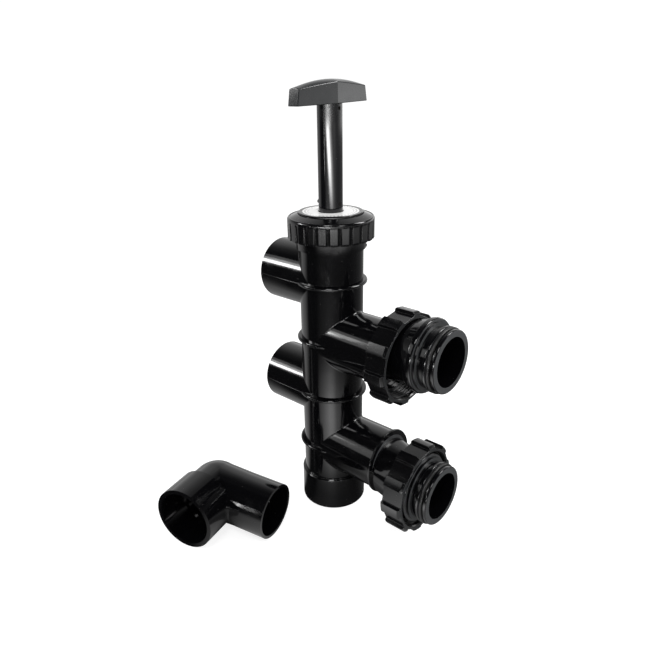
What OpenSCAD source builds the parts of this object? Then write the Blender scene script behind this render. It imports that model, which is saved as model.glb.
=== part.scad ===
// Five-port, two-position push-pull valve for a pool filter, with its loose street elbow.
// Origin: centre of the waste port's bottom face. +Z up along the barrel, +X along the filter unions.

/* [Pipe ports] */
// Outside diameter of the pipe that the sockets take
pipe_od = 60.3; // [56:0.1:62]
// Clearance on the radius between a socket and its pipe
socket_play = 0.1; // [0.05:0.05:0.3]
// Depth of the pipe sockets in the side stubs and in the waste collar
socket_depth = 22; // [16:1:26]
// Bore of the water way between a socket and the barrel
flow_d = 48; // [36:1:52]
// Outside diameter of the side stubs and branches
stub_od = 67; // [66:0.5:70]
// Reach of the two return and pump stubs from the barrel's axis
stub_reach = 74; // [66:1:90]
// Reach of the two filter branches from the barrel's axis
branch_reach = 80.3; // [76:0.1:92]
// Outside diameter of the lip at the end of a filter branch
branch_lip_od = 70.6; // [69:0.1:74]
// Width of that lip along the branch
branch_lip_w = 3; // [2:0.5:5]

/* [Barrel] */
// Outside diameter of the barrel
barrel_od = 67; // [66:0.5:70]
// Bore in which the pistons slide
barrel_bore = 59; // [54:0.1:60]
// Height of the lowest port's axis
lowest_port_z = 77.2; // [76:0.1:84]
// Distance between neighbouring port axes
port_pitch = 63.8; // [62:0.1:72]
// Outside diameter of the hoop at each port
hoop_od = 75.6; // [71:0.2:80]
// Height of each hoop
hoop_h = 3.8; // [2.5:0.1:6]
// Height from the top port's axis to the barrel's rim
head_rise = 60.4; // [58:0.2:70]
// Outside diameter of the plain collar under the lock ring
neck_od = 72; // [70:0.5:74]
// Length of that collar
neck_h = 10.2; // [6:0.2:14]
// Angle between the two small stop lugs on each side of that collar
neck_lug_angle = 52; // [30:1:70]
// How far the moulding's parting line stands proud on the stubs
parting_proud = 0.5; // [0.2:0.1:0.8]

/* [Waste collar] */
// Outside diameter of the waste collar
collar_od = 72.8; // [71:0.2:80]
// Height of the waste collar
collar_h = 38.8; // [34:0.2:41]

/* [Lock ring] */
// Outside diameter over the grip ribs
ring_od = 89; // [86:0.5:94]
// Depth of the grooves between the grip ribs
rib_depth = 1.2; // [0.8:0.1:1.6]
// Width of each grip rib
rib_w = 7; // [4:0.2:8]
// Number of grip ribs
rib_count = 24; // [12:1:32]
// Height of the lock ring
ring_h = 22.7; // [20:0.1:24]
// Thickness of its inward top flange
ring_top = 4; // [3:0.1:5]
// Pitch of the screw thread, drawn as rings
thread_pitch = 3.2; // [3:0.1:4]
// Depth over which the ring's and the barrel's threads hook each other
thread_hook = 1; // [0.6:0.1:1.4]

/* [Cap and gland] */
// Thickness of the cap's clamped flange
cap_flange_h = 4; // [3:0.1:5]
// Diameter of the boss that stands up through the lock ring
boss_od = 66; // [64:0.2:68]
// Rise of the boss above the cap's flange
boss_h = 8.2; // [7:0.1:11]
// Length of the plug that fits in the barrel
plug_h = 27; // [20:0.5:28]
// Outside diameter of the gland tube
gland_od = 34; // [32:0.5:36]
// Length of the gland tube below the plug
gland_h = 40; // [38:0.5:44]
// Diameter of the round label plate
label_od = 58; // [50:0.5:60]
// Thickness of the label plate
label_t = 1.3; // [0.8:0.1:2]

/* [Shaft and handle] */
// Outside diameter of the tubular shaft
shaft_od = 24.6; // [22:0.1:25.4]
// Bore of the tubular shaft
shaft_bore = 19.4; // [15:0.1:19.6]
// Height from the cap's top to the underside of the raised handle
shaft_show = 101.6; // [90:0.2:120]
// Height of the lock pin above the cap's top
lock_pin_rise = 7.8; // [5:0.1:12]
// Diameter of the lock pin
lock_pin_d = 4; // [3:0.1:4.4]
// Reach of the lock pin from the shaft's axis
lock_pin_reach = 17; // [14:0.5:18]
// Diameter of the handle's roll pin
roll_pin_d = 3.6; // [3:0.1:4.5]
// Drop of the roll pin below the handle's underside
roll_pin_drop = 4; // [3.4:0.1:10]
// Length of the handle's bar
handle_l = 99; // [85:1:120]
// Width of the bar at its middle
handle_w = 21.5; // [18:0.5:24]
// Width of the bar at its ends
handle_end_w = 12.5; // [9:0.5:15]
// Height of the bar at its crown
handle_h = 21.8; // [18:0.2:26]
// Height of the bar at its ends
handle_end_h = 14.2; // [11:0.2:16]
// Length of the spigot that goes down into the shaft
spigot_l = 22; // [16:1:30]

/* [Pistons] */
// Thickness of each piston
piston_h = 14; // [12:0.5:15]
// Gap on the radius between a piston and the barrel
piston_gap = 0.3; // [0.2:0.05:0.5]
// Thickness of the O-ring cord of the pistons and the cap
ring_cord = 3.5; // [2.6:0.1:3.6]
// Outside diameter of the spacer sleeve
spacer_od = 30; // [28:0.5:36]
// Diameter of the end washer and of the retaining clip
washer_od = 34; // [30:0.5:38]

/* [Filter unions] */
// How far each tailpiece steps off its branch's axis
tail_offset = 12.4; // [10:0.1:12.8]
// Reach of the union's end face from the barrel's axis
union_reach = 148.3; // [146:0.1:156]
// Bore of the tailpiece
tail_bore = 49.8; // [44:0.2:52]
// Diameter of the flange that the union nut pulls on
flange_od = 75.6; // [74:0.2:77]
// Diameter of the plug end, over its O-ring and beads
end_od = 66; // [64:0.2:68]
// Diameter over the nut's ribs
nut_od = 98; // [95:0.5:102]
// Diameter over the corners of the nut's ten-sided body
nut_body_od = 93.2; // [91:0.2:94]
// Length of the nut
nut_l = 23.4; // [22:0.2:25]
// Number of lobes on the nut
nut_lobes = 10; // [8:1:12]
// Width of each rib on the nut
nut_rib_w = 11; // [8:0.5:13]
// Crest diameter of the nut's inside thread
nut_crest_d = 78.8; // [78:0.1:80.6]

/* [Street elbow] */
// Outside diameter of the elbow's hub
hub_od = 70; // [68:0.5:76]
// Length of the hub
hub_l = 38; // [32:1:42]
// Distance from the bend's centre to the hub's face
hub_reach = 58.5; // [58:0.5:66]
// Distance from the bend's centre to the spigot's end
spigot_reach = 77.5; // [72:0.5:90]
// Length of the spigot that fits a socket
spigot_fit_l = 40; // [34:0.5:41]
// Wall of the spigot
spigot_wall = 3.2; // [2.4:0.1:4.5]
// Where the bend's centre stands on the floor, along X
elbow_x = -71.5; // [-110:0.5:-60]
// Where the bend's centre stands on the floor, along Y
elbow_y = -120; // [-180:0.5:-115]
// Turn of the hub's axis about the vertical
elbow_turn = -75.5; // [-90:0.5:-60]

/* [Hidden] */
$fn = 72;
eps = 0.01;
// Clearances: running fit, gap between parts that move past each other, glued fit
run = 0.06;
gap = 0.3;
glue = 0.05;

barrel_r = barrel_od / 2;
bore_r = barrel_bore / 2;
stub_r = stub_od / 2;
socket_r = pipe_od / 2 + socket_play;
port_z = [for (i = [0:3]) lowest_port_z + i * port_pitch];
stroke = port_pitch;

rim_z = port_z[3] + head_rise;
ring_r = ring_od / 2;
core_r = ring_r - rib_depth - 4.5;
crest_out_r = core_r + 1.4;
ring_bore_r = crest_out_r + gap + 0.3;
crest_in_r = crest_out_r - thread_hook;
ridge_w = thread_pitch / 2 - gap;
cap_flange_r = crest_out_r - 1.9;
ring_flange_z = rim_z + cap_flange_h + gap;
ring_top_z = ring_flange_z + ring_top;
ring_z = ring_top_z - ring_h;
neck_r = neck_od / 2;
neck_z = ring_z - gap - neck_h;
boss_r = boss_od / 2;
cap_top_z = rim_z + cap_flange_h + boss_h;
label_z = cap_top_z - label_t - 0.2;
plug_r = bore_r - glue;
plug_z = rim_z - plug_h;
gland_z = plug_z - gland_h;

shaft_r = shaft_od / 2;
key_w = lock_pin_d + 2 * gap;
key_r = lock_pin_reach + gap;
lock_pin_z = cap_top_z + lock_pin_rise;
key_floor_z = lock_pin_z - stroke - lock_pin_d / 2 - gap;
seal_cord = 2.6;
seal_z = [gland_z + 4, gland_z + 10];
handle_z = cap_top_z + shaft_show;

piston_r = bore_r - piston_gap;
piston_z = [(port_z[0] + port_z[1]) / 2 - piston_h / 2, (port_z[2] + port_z[3]) / 2 - piston_h / 2];
hub_bore_r = shaft_r + run;
clip_t = 1.6;
clip_groove = 0.9;
clip_z = piston_z[1] + piston_h + gap;
washer_t = 3;
washer_z = piston_z[0] - gap - washer_t;
shaft_z = washer_z + washer_t;
plug_len = 20;
screw_r = 3;
screw_head_h = 5;
screw_head_r = 6.4;
screw_l = 18;

tail_tube_r = pipe_od / 2;
flange_r = flange_od / 2;
end_r = end_od / 2;
end_w = 3.9;
groove_w = 4.6;
bead_w = 3.2;
neck_w = 6.6;
step_w = 3;
flange_w = 6;
flange_x = union_reach - end_w - groove_w - bead_w - neck_w - step_w - flange_w;
cone_w = 9;
// The tailpiece's outside: its steps sideways as shares of the offset, its radii and their places
step_x = [branch_reach, flange_x - cone_w - 8, flange_x - cone_w];
step_share = [0.4, 0.87, 1];
step_r = [tail_tube_r + 0.85, tail_tube_r + 1.25, tail_tube_r + 3.35];
nut_r = nut_od / 2;
nut_crest_r = nut_crest_d / 2;
nut_root_r = nut_crest_r + 1.4;
nut_lip = 4.5;
nut_lip_r = flange_r - 1.2;
nut_thread_x = nut_lip + 3;
nut_turns = floor((nut_l - nut_lip - 5) / thread_pitch);
upper_nut_x = branch_reach + gap;
lower_nut_x = flange_x - 16.2;
tail_z = [port_z[0] - tail_offset, port_z[2] + tail_offset];
// The parked nut hangs on the slope of the tailpiece by the last ring of its thread
hang_x = upper_nut_x + nut_thread_x + (nut_turns - 1) * thread_pitch + ridge_w;
hang_rise = (step_share[1] - step_share[0]) / (step_x[1] - step_x[0]);
hang_share = step_share[0] + hang_rise * (hang_x - step_x[0]);
upper_nut_z = port_z[2] + tail_offset * hang_share + step_r[1] + gap - nut_crest_r;
lower_nut_z = tail_z[0] + flange_r + gap - nut_crest_r;

hub_r = hub_od / 2;
spigot_r = pipe_od / 2;
elbow_droop = asin(hub_r / norm([spigot_reach, spigot_r])) - atan2(spigot_r, spigot_reach);

// ---- shared shapes ----

// Cylinder along +X from x0 to x1
module rod_x(r, x0, x1) {
    translate([x0, 0, 0]) rotate([0, 90, 0]) cylinder(h = x1 - x0, r = r);
}

// Plain tube along +Z
module tube(ro, ri, z0, z1) {
    translate([0, 0, z0]) difference() {
        cylinder(h = z1 - z0, r = ro);
        translate([0, 0, -1]) cylinder(h = z1 - z0 + 2, r = ri);
    }
}

// O-ring lying flat, by its outer radius
module o_ring(r_out, cord, z) {
    translate([0, 0, z]) rotate_extrude() translate([r_out - cord / 2, 0]) circle(r = cord / 2, $fn = 24);
}

// One ring of a screw thread in section, from its foot at r_a to its crest at r_b
module thread_profile(r_a, r_b) {
    polygon([[r_a, 0], [r_b, ridge_w * 0.25], [r_b, ridge_w * 0.75], [r_a, ridge_w]]);
}

// Rings that stand for a screw thread
module thread_rings(r_a, r_b, z0, n) {
    for (i = [0:n - 1]) translate([0, 0, z0 + i * thread_pitch]) rotate_extrude() thread_profile(r_a, r_b);
}

// ---- housing ----

module side_pipe(reach, r, dir) {
    mirror([dir < 0 ? 1 : 0, 0, 0]) {
        rod_x(r, 0, reach - 0.8);
        translate([reach - 0.8, 0, 0]) rotate([0, 90, 0]) cylinder(h = 0.8, r1 = r, r2 = r - 0.8);
    }
}

module valve_body() {
    turns = floor((rim_z - ring_z - 3) / thread_pitch);
    color("#17181a") difference() {
        union() {
            translate([0, 0, socket_depth]) cylinder(h = rim_z - socket_depth, r = barrel_r);
            for (z = port_z) translate([0, 0, z]) rotate_extrude() {
                translate([barrel_r - 2, -hoop_h / 2]) square([hoop_od / 2 - barrel_r, hoop_h]);
                translate([hoop_od / 2 - hoop_h / 2, 0]) circle(d = hoop_h, $fn = 24);
            }
            for (i = [1, 3]) translate([0, 0, port_z[i]]) {
                side_pipe(stub_reach, stub_r, -1);
                translate([-stub_reach + 1, -stub_r - parting_proud, -0.4])
                    cube([stub_reach - barrel_r / 2, stub_od + 2 * parting_proud, 0.8]);
            }
            for (i = [0, 2]) translate([0, 0, port_z[i]]) {
                side_pipe(branch_reach - branch_lip_w / 2, stub_r - 0.3, 1);
                rod_x(branch_lip_od / 2, branch_reach - branch_lip_w, branch_reach);
            }
            tube(neck_r, barrel_r - 2, neck_z, ring_z - gap);
            tube(core_r, barrel_r - 2, ring_z - gap - eps, rim_z);
            for (side = [-1, 1], k = [-1, 1]) rotate([0, 0, side * (63 + k * neck_lug_angle / 2)])
                translate([0, 0, neck_z + 1.6]) rod_x(1.5, neck_r - 2, neck_r + 0.8);
            thread_rings(core_r - 0.5, crest_out_r, ring_z + 2, turns);
        }
        translate([0, 0, socket_depth - 1]) cylinder(h = rim_z - socket_depth + 2, r = bore_r);
        for (i = [1, 3]) translate([0, 0, port_z[i]]) {
            rod_x(flow_d / 2, -stub_reach - 1, 0);
            rod_x(socket_r, -stub_reach - 1, -stub_reach + socket_depth);
        }
        for (i = [0, 2]) translate([0, 0, port_z[i]]) {
            rod_x(flow_d / 2, 0, branch_reach + 1);
            rod_x(tail_tube_r + glue, branch_reach - socket_depth, branch_reach + 1);
        }
    }
}

module waste_collar() {
    color("#1b1c1e") difference() {
        union() {
            translate([0, 0, 1]) cylinder(h = collar_h - 2, r = collar_od / 2);
            cylinder(h = 1, r1 = collar_od / 2 - 1, r2 = collar_od / 2);
            translate([0, 0, collar_h - 1]) cylinder(h = 1, r1 = collar_od / 2, r2 = collar_od / 2 - 1);
        }
        translate([0, 0, -1]) cylinder(h = socket_depth + 2, r = socket_r);
        translate([0, 0, socket_depth]) cylinder(h = collar_h, r = barrel_r + glue);
    }
}

module cap() {
    seal_groove_z = plug_z + plug_h / 2;
    color("#1b1c1e") difference() {
        union() {
            translate([0, 0, plug_z]) cylinder(h = plug_h + eps, r = plug_r);
            translate([0, 0, rim_z]) cylinder(h = cap_flange_h, r = cap_flange_r);
            translate([0, 0, rim_z]) cylinder(h = cap_top_z - rim_z - 0.6, r = boss_r);
            translate([0, 0, cap_top_z - 0.6]) cylinder(h = 0.6, r1 = boss_r, r2 = boss_r - 0.6);
            translate([0, 0, gland_z]) cylinder(h = gland_h + eps, r = gland_od / 2);
        }
        translate([0, 0, gland_z - 1]) cylinder(h = cap_top_z - gland_z + 2, r = hub_bore_r);
        translate([0, 0, label_z]) cylinder(h = 5, r = label_od / 2 + 0.1);
        tube(bore_r + 1, bore_r - glue - ring_cord, seal_groove_z - 2.1, seal_groove_z + 2.1);
        for (z = seal_z) translate([0, 0, z])
            cylinder(h = seal_cord + 0.2, r = hub_bore_r + seal_cord + glue);
        // keyway down the gland for the lock pin, and its lock slot at the bottom
        translate([-key_r, -key_w / 2, key_floor_z]) cube([key_r, key_w, cap_top_z]);
        translate([0, 0, key_floor_z]) rotate([0, 0, 180]) rotate_extrude(angle = 102)
            translate([shaft_r - 1, 0]) square([gland_od / 2 - shaft_r + 3, key_w]);
    }
}

module cap_seal() {
    color("#0c0c0c") o_ring(bore_r - glue, ring_cord, plug_z + plug_h / 2);
}

module label_plate() {
    color("#e9e9e6") difference() {
        translate([0, 0, label_z]) cylinder(h = label_t, r = label_od / 2);
        translate([0, 0, label_z - 1]) cylinder(h = label_t + 2, r = shaft_r + 0.8);
        translate([-key_r - gap, -key_w / 2 - gap, label_z - 1])
            cube([key_r, key_w + 2 * gap, label_t + 2]);
    }
}

module shaft_seals() {
    for (z = seal_z) color("#0c0c0c") o_ring(hub_bore_r + seal_cord, seal_cord, z + seal_cord / 2 + 0.1);
}

module lock_ring() {
    turns = floor((rim_z - ring_z - 3) / thread_pitch);
    groove = PI * ring_od / rib_count - rib_w;
    skirt_h = ring_h - 4.2;
    color("#17181a") translate([0, 0, ring_z]) difference() {
        rotate_extrude() polygon([[0, 0], [ring_r, 0], [ring_r, ring_h - 3.9],
            [ring_r - 0.3, ring_h - 2.4], [ring_r - 1, ring_h - 1.2], [ring_r - 2, ring_h - 0.7],
            [ring_r - 2.4, ring_h - 1.2], [ring_r - 2.8, ring_h - 1],
            [boss_r + 1.2, ring_h + 2.3], [0, ring_h + 2.3]]);
        translate([0, 0, -1]) cylinder(h = ring_h + 10, r = boss_r + gap);
        for (i = [0:rib_count - 1]) rotate([0, 0, (i + 0.5) * 360 / rib_count])
            translate([ring_r - rib_depth, -groove / 2, -1]) cube([rib_depth + 1, groove, skirt_h + 1]);
        difference() {
            translate([0, 0, -1]) cylinder(h = ring_h - ring_top + 1, r = ring_bore_r);
            thread_rings(ring_bore_r + 1, crest_in_r, 2 + thread_pitch / 2, turns);
        }
    }
}

// ---- plunger ----

module shaft() {
    color("#1e1f21") difference() {
        tube(shaft_r, shaft_bore / 2, shaft_z, handle_z);
        tube(shaft_r + 1, shaft_r - clip_groove, clip_z, clip_z + clip_t);
        translate([0, 0, lock_pin_z]) rod_x(lock_pin_d / 2 + 0.02, -shaft_od, shaft_od);
        translate([0, 0, handle_z - roll_pin_drop]) rod_x(roll_pin_d / 2 + 0.02, -shaft_od, shaft_od);
    }
}

module handle() {
    hl = handle_l / 2;
    rise = handle_h - handle_end_h;
    arch_r = (hl * hl + rise * rise) / (2 * rise);
    crown = handle_w * 0.107;
    crown_r = (pow(handle_w / 2, 2) + crown * crown) / (2 * crown);
    color("#2b2c2e") difference() {
        translate([0, 0, handle_z]) union() {
            intersection() {
                linear_extrude(handle_h) polygon([[-handle_end_w / 2, -hl], [handle_end_w / 2, -hl],
                    [handle_w / 2, 0], [handle_end_w / 2, hl], [-handle_end_w / 2, hl], [-handle_w / 2, 0]]);
                rotate([90, 0, 90]) linear_extrude(handle_w, center = true)
                    polygon([[-hl, 0], [hl, 0], [hl - 3.8, handle_h], [-hl + 3.8, handle_h]]);
                translate([0, 0, handle_h - arch_r]) rotate([0, 90, 0])
                    cylinder(h = handle_w + 2, r = arch_r, center = true);
                translate([0, 0, handle_h - crown_r]) rotate([90, 0, 0])
                    cylinder(h = handle_l + 2, r = crown_r, center = true);
            }
            translate([0, 0, -spigot_l]) cylinder(h = spigot_l + 1, r = shaft_bore / 2 - glue);
        }
        translate([0, 0, handle_z - roll_pin_drop]) rod_x(roll_pin_d / 2 + 0.02, -shaft_od, shaft_od);
    }
}

module handle_pin() {
    color("#8d9094") translate([0, 0, handle_z - roll_pin_drop]) difference() {
        rod_x(roll_pin_d / 2, -shaft_r + 0.4, shaft_r - 0.4);
        rod_x(roll_pin_d / 4, -shaft_r - 1, shaft_r + 1);
    }
}

module lock_pin() {
    color("#3a3b3d") translate([0, 0, lock_pin_z]) {
        rod_x(lock_pin_d / 2, -lock_pin_reach + 0.5, shaft_r - 0.2);
        translate([-lock_pin_reach, 0, 0]) rotate([0, 90, 0])
            cylinder(h = 0.5, r1 = lock_pin_d / 2 - 0.5, r2 = lock_pin_d / 2);
    }
}

module piston(z) {
    groove = ring_cord + 0.4;
    translate([0, 0, z]) difference() {
        union() {
            translate([0, 0, 1]) cylinder(h = piston_h - 2, r = piston_r);
            cylinder(h = 1, r1 = piston_r - 1, r2 = piston_r);
            translate([0, 0, piston_h - 1]) cylinder(h = 1, r1 = piston_r, r2 = piston_r - 1);
        }
        translate([0, 0, -1]) cylinder(h = piston_h + 2, r = hub_bore_r);
        for (k = [-1, 1]) translate([0, 0, piston_h / 2 + k * piston_h * 0.22 - groove / 2])
            tube(bore_r + 1, bore_r - run - ring_cord, 0, groove);
    }
}

module piston_rings(z) {
    for (k = [-1, 1]) o_ring(bore_r - run, ring_cord, z + piston_h / 2 + k * piston_h * 0.22);
}

module upper_piston() { color("#c9c7bf") piston(piston_z[1]); }

module upper_piston_rings() { color("#0c0c0c") piston_rings(piston_z[1]); }

module lower_piston() { color("#c9c7bf") piston(piston_z[0]); }

module lower_piston_rings() { color("#0c0c0c") piston_rings(piston_z[0]); }

module piston_spacer() {
    color("#d6d4cc") tube(spacer_od / 2, hub_bore_r, piston_z[0] + piston_h, piston_z[1]);
}

module retaining_clip() {
    color("#9ea1a5") difference() {
        tube(washer_od / 2, shaft_r - clip_groove + 0.02, clip_z, clip_z + clip_t);
        translate([0, -shaft_r * 0.45, clip_z - 1]) cube([washer_od, shaft_r * 0.9, clip_t + 2]);
    }
}

module shaft_end_plug() {
    color("#26272a") tube(shaft_bore / 2 - glue, screw_r, shaft_z, shaft_z + plug_len);
}

module end_washer() {
    color("#a5a8ac") tube(washer_od / 2, screw_r + 0.3, washer_z, washer_z + washer_t);
}

module end_screw() {
    color("#b2b5b9") {
        translate([0, 0, washer_z - screw_head_h]) cylinder(h = screw_head_h, r = screw_head_r, $fn = 6);
        translate([0, 0, washer_z - eps]) cylinder(h = screw_l, r = screw_r - 0.02);
    }
}

// ---- filter unions ----

// Tailpiece along +X on the branch's axis; its plug end steps off by dz
module tailpiece(dz) {
    bead_x = union_reach - end_w - groove_w - bead_w;
    neck_x = bead_x - neck_w;
    difference() {
        union() {
            rod_x(tail_tube_r, branch_reach - socket_depth, branch_reach);
            for (k = [0, 1]) hull() {
                translate([step_x[k], 0, dz * step_share[k]]) rod_x(step_r[k], 0, eps, $fn = 40);
                translate([step_x[k + 1], 0, dz * step_share[k + 1]]) rod_x(step_r[k + 1], -eps, 0, $fn = 40);
            }
            translate([0, 0, dz]) {
                translate([step_x[2] - eps, 0, 0]) rotate([0, 90, 0])
                    cylinder(h = cone_w + 2 * eps, r1 = step_r[2], r2 = flange_r - 1.4);
                translate([flange_x, 0, 0]) rotate([0, 90, 0]) rotate_extrude() {
                    square([flange_r - 1.5, flange_w]);
                    translate([0, 1.5]) square([flange_r, flange_w - 3]);
                    for (y = [1.5, flange_w - 1.5]) translate([flange_r - 1.5, y]) circle(r = 1.5, $fn = 24);
                }
                rod_x(flange_r - 3.2, flange_x + flange_w - eps, neck_x);
                rod_x(end_r - 2, neck_x - eps, union_reach - 1.2);
                translate([bead_x, 0, 0]) rotate([0, 90, 0]) rotate_extrude() {
                    square([end_r - 1, bead_w]);
                    translate([0, 1]) square([end_r, bead_w - 2]);
                    for (y = [1, bead_w - 1]) translate([end_r - 1, y]) circle(r = 1, $fn = 24);
                }
                translate([union_reach - end_w, 0, 0]) rotate([0, 90, 0]) rotate_extrude() {
                    square([end_r - 2.5, end_w]);
                    translate([0, 1.2]) square([end_r - 1.3, end_w - 2.4]);
                    for (y = [1.2, end_w - 1.2]) translate([end_r - 2.5, y]) circle(r = 1.2, $fn = 24);
                }
            }
        }
        rod_x(tail_bore / 2, branch_reach - socket_depth - 1, step_x[0]);
        hull() {
            rod_x(tail_bore / 2, step_x[0] - eps, step_x[0], $fn = 40);
            translate([step_x[2], 0, dz]) rod_x(tail_bore / 2, 0, eps, $fn = 40);
        }
        translate([0, 0, dz]) {
            rod_x(tail_bore / 2, step_x[2], union_reach + 1);
            translate([union_reach - end_w - groove_w, 0, 0]) rotate([0, 90, 0])
                tube(end_r + 2, end_r - ring_cord, 0, groove_w);
        }
    }
}

module tail_ring(dz) {
    translate([union_reach - end_w - groove_w / 2, 0, dz]) rotate([0, 90, 0])
        o_ring(end_r, ring_cord - 0.02, 0);
}

// Section of the union nut: a lip at its back, a chamfered mouth and the thread's rings
module nut_section() {
    difference() {
        polygon([[0, 0], [nut_r - 1.5, 0], [nut_r, 1.5],
            [nut_r, nut_l - 2.2], [nut_r - 2, nut_l], [0, nut_l]]);
        translate([-1, -1]) square([nut_lip_r + 1, nut_l + 2]);
        difference() {
            translate([0, nut_lip]) square([nut_root_r, nut_l]);
            for (i = [0:nut_turns - 1]) translate([0, nut_thread_x + i * thread_pitch])
                thread_profile(nut_root_r + 1, nut_crest_r);
        }
        polygon([[0, nut_l - 1.6], [nut_root_r - 0.1, nut_l - 1.6],
            [nut_root_r + 1.3, nut_l + 0.2], [0, nut_l + 1]]);
    }
}

// Union nut along +X from x = 0, open at its front
module union_nut(turn) {
    intersection() {
        union() {
            rotate([0, 90, 0]) rotate([0, 0, turn]) translate([0, 0, -1])
                cylinder(h = nut_l + 2, d = nut_body_od, $fn = nut_lobes);
            for (i = [0:nut_lobes - 1]) rotate([turn + 360 / nut_lobes * i, 0, 0])
                translate([-1, -nut_rib_w / 2, nut_root_r - 2]) cube([nut_l + 2, nut_rib_w, nut_r]);
        }
        rotate([0, 90, 0]) rotate_extrude() nut_section();
    }
}

module upper_tailpiece() {
    color("#17181a") translate([0, 0, port_z[2]]) tailpiece(tail_offset);
}

module lower_tailpiece() {
    color("#17181a") translate([0, 0, port_z[0]]) tailpiece(-tail_offset);
}

module upper_tail_ring() { color("#0c0c0c") translate([0, 0, port_z[2]]) tail_ring(tail_offset); }

module lower_tail_ring() { color("#0c0c0c") translate([0, 0, port_z[0]]) tail_ring(-tail_offset); }

module upper_nut() {
    color("#1b1c1e") translate([upper_nut_x, 0, upper_nut_z]) union_nut(26.5);
}

module lower_nut() {
    color("#1b1c1e") translate([lower_nut_x, 0, lower_nut_z]) union_nut(24);
}

// ---- street elbow ----

// Hub, neck and rounded corner in section along the hub's axis
module elbow_section(neck_r, hub_step, hub_outer, end) {
    intersection() {
        union() {
            circle(r = neck_r);
            square([neck_r, end]);
            translate([0, hub_step]) square([hub_outer, end - hub_step]);
        }
        translate([0, -2 * neck_r]) square([2 * hub_outer, 2 * neck_r + end]);
    }
}

// The elbow lies on its hub and on the rim of its spigot, which the droop brings down to the floor
module street_elbow() {
    neck_r = spigot_r + 1;
    way_r = spigot_r - spigot_wall;
    hub_x = hub_reach - hub_l;
    color("#1b1c1e") translate([elbow_x, elbow_y, hub_r])
        rotate([0, 0, elbow_turn]) rotate([-elbow_droop, 0, 0]) difference() {
            union() {
                rotate([0, 90, 0]) rotate_extrude() elbow_section(neck_r, hub_x, hub_r, hub_reach);
                rotate([0, 0, 90]) rod_x(spigot_r + 0.5, 0, spigot_reach - spigot_fit_l);
                rotate([0, 0, 90]) rod_x(spigot_r, spigot_reach - spigot_fit_l - 1, spigot_reach);
            }
            rotate([0, 90, 0]) rotate_extrude()
                elbow_section(way_r + 0.8, hub_x + 3, socket_r, hub_reach + 1);
            rotate([0, 0, 90]) rod_x(way_r, 0, spigot_reach + 1);
        }
}

valve_body();
waste_collar();
cap();
cap_seal();
label_plate();
shaft_seals();
lock_ring();
shaft();
handle();
handle_pin();
lock_pin();
upper_piston();
upper_piston_rings();
lower_piston();
lower_piston_rings();
piston_spacer();
retaining_clip();
shaft_end_plug();
end_washer();
end_screw();
upper_tailpiece();
upper_tail_ring();
upper_nut();
lower_tailpiece();
lower_tail_ring();
lower_nut();
street_elbow();
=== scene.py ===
import math
import random
import bpy
import bmesh
from mathutils import Matrix, Vector


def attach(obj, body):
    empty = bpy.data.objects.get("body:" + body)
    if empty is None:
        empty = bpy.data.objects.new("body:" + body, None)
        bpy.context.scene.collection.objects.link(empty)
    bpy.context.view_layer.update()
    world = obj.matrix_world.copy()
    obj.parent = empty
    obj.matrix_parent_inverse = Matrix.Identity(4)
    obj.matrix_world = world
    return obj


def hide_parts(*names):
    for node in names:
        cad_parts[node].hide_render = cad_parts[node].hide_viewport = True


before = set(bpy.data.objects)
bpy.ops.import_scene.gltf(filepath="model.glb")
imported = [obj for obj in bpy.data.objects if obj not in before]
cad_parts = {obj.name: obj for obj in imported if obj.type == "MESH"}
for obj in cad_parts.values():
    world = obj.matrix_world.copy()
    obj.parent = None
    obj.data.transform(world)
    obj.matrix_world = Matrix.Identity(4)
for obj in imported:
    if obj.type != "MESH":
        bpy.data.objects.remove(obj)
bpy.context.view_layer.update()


# ---- Camera ----
# A normal lens looks down at the valve from its right front, from as high as the handle and
# level to within a degree.

scene = bpy.context.scene
camera = bpy.data.objects.new("camera", bpy.data.cameras.new("camera"))
scene.collection.objects.link(camera)
scene.camera = camera
camera.data.sensor_width = 36.0
camera.data.lens = 33.495
camera.data.clip_start, camera.data.clip_end = 0.02, 60.0
camera_at = Vector((0.4034, -0.4559, 0.4655))
look = Vector((-0.6222, 0.6853, -0.3787)).normalized()
tilt = math.radians(-0.97)
level = look.cross(Vector((0, 0, 1))).normalized()
lift = level.cross(look)
right = level * math.cos(tilt) + lift * math.sin(tilt)
top = lift * math.cos(tilt) - level * math.sin(tilt)
camera.matrix_world = Matrix((
    (right.x, top.x, -look.x, camera_at.x),
    (right.y, top.y, -look.y, camera_at.y),
    (right.z, top.z, -look.z, camera_at.z),
    (0, 0, 0, 1)))


# ---- Studio ----
# The valve stands on white paper in soft, even light. The gloss of its black plastic
# mirrors a room that is bright to the left and behind it and dim toward the camera.

def srgb(hex_code):
    channels = [int(hex_code[i:i + 2], 16) / 255 for i in (1, 3, 5)]
    linear = [c / 12.92 if c <= 0.04045 else ((c + 0.055) / 1.055) ** 2.4 for c in channels]
    return tuple(linear) + (1.0,)


def add(tree, kind, links=(), **settings):
    # in_X sets the input of that number or name, stops are a ramp's places with grey or colour
    node = tree.nodes.new(kind)
    for key, value in settings.items():
        if key.startswith("in_"):
            name = key[3:]
            socket = int(name) if name.isdigit() else name.replace("_", " ")
            node.inputs[socket].default_value = value
        elif key == "stops":
            elements = node.color_ramp.elements
            elements[0].position, elements[1].position = value[0][0], value[-1][0]
            for place, _ in value[1:-1]:
                elements.new(place)
            for element, (place, shade) in zip(elements, value):
                element.position = place
                element.color = shade if isinstance(shade, tuple) else (shade, shade, shade, 1)
        else:
            setattr(node, key, value)
    for source, target in links:
        tree.links.new(source, node.inputs[target])
    return node


def round_compass(*pairs):
    # brightness by degrees, anticlockwise from 0 at the right, as a ramp's stops
    return [((degrees + 180) / 360, value) for degrees, value in pairs]


scene.view_settings.view_transform = "Standard"

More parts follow.
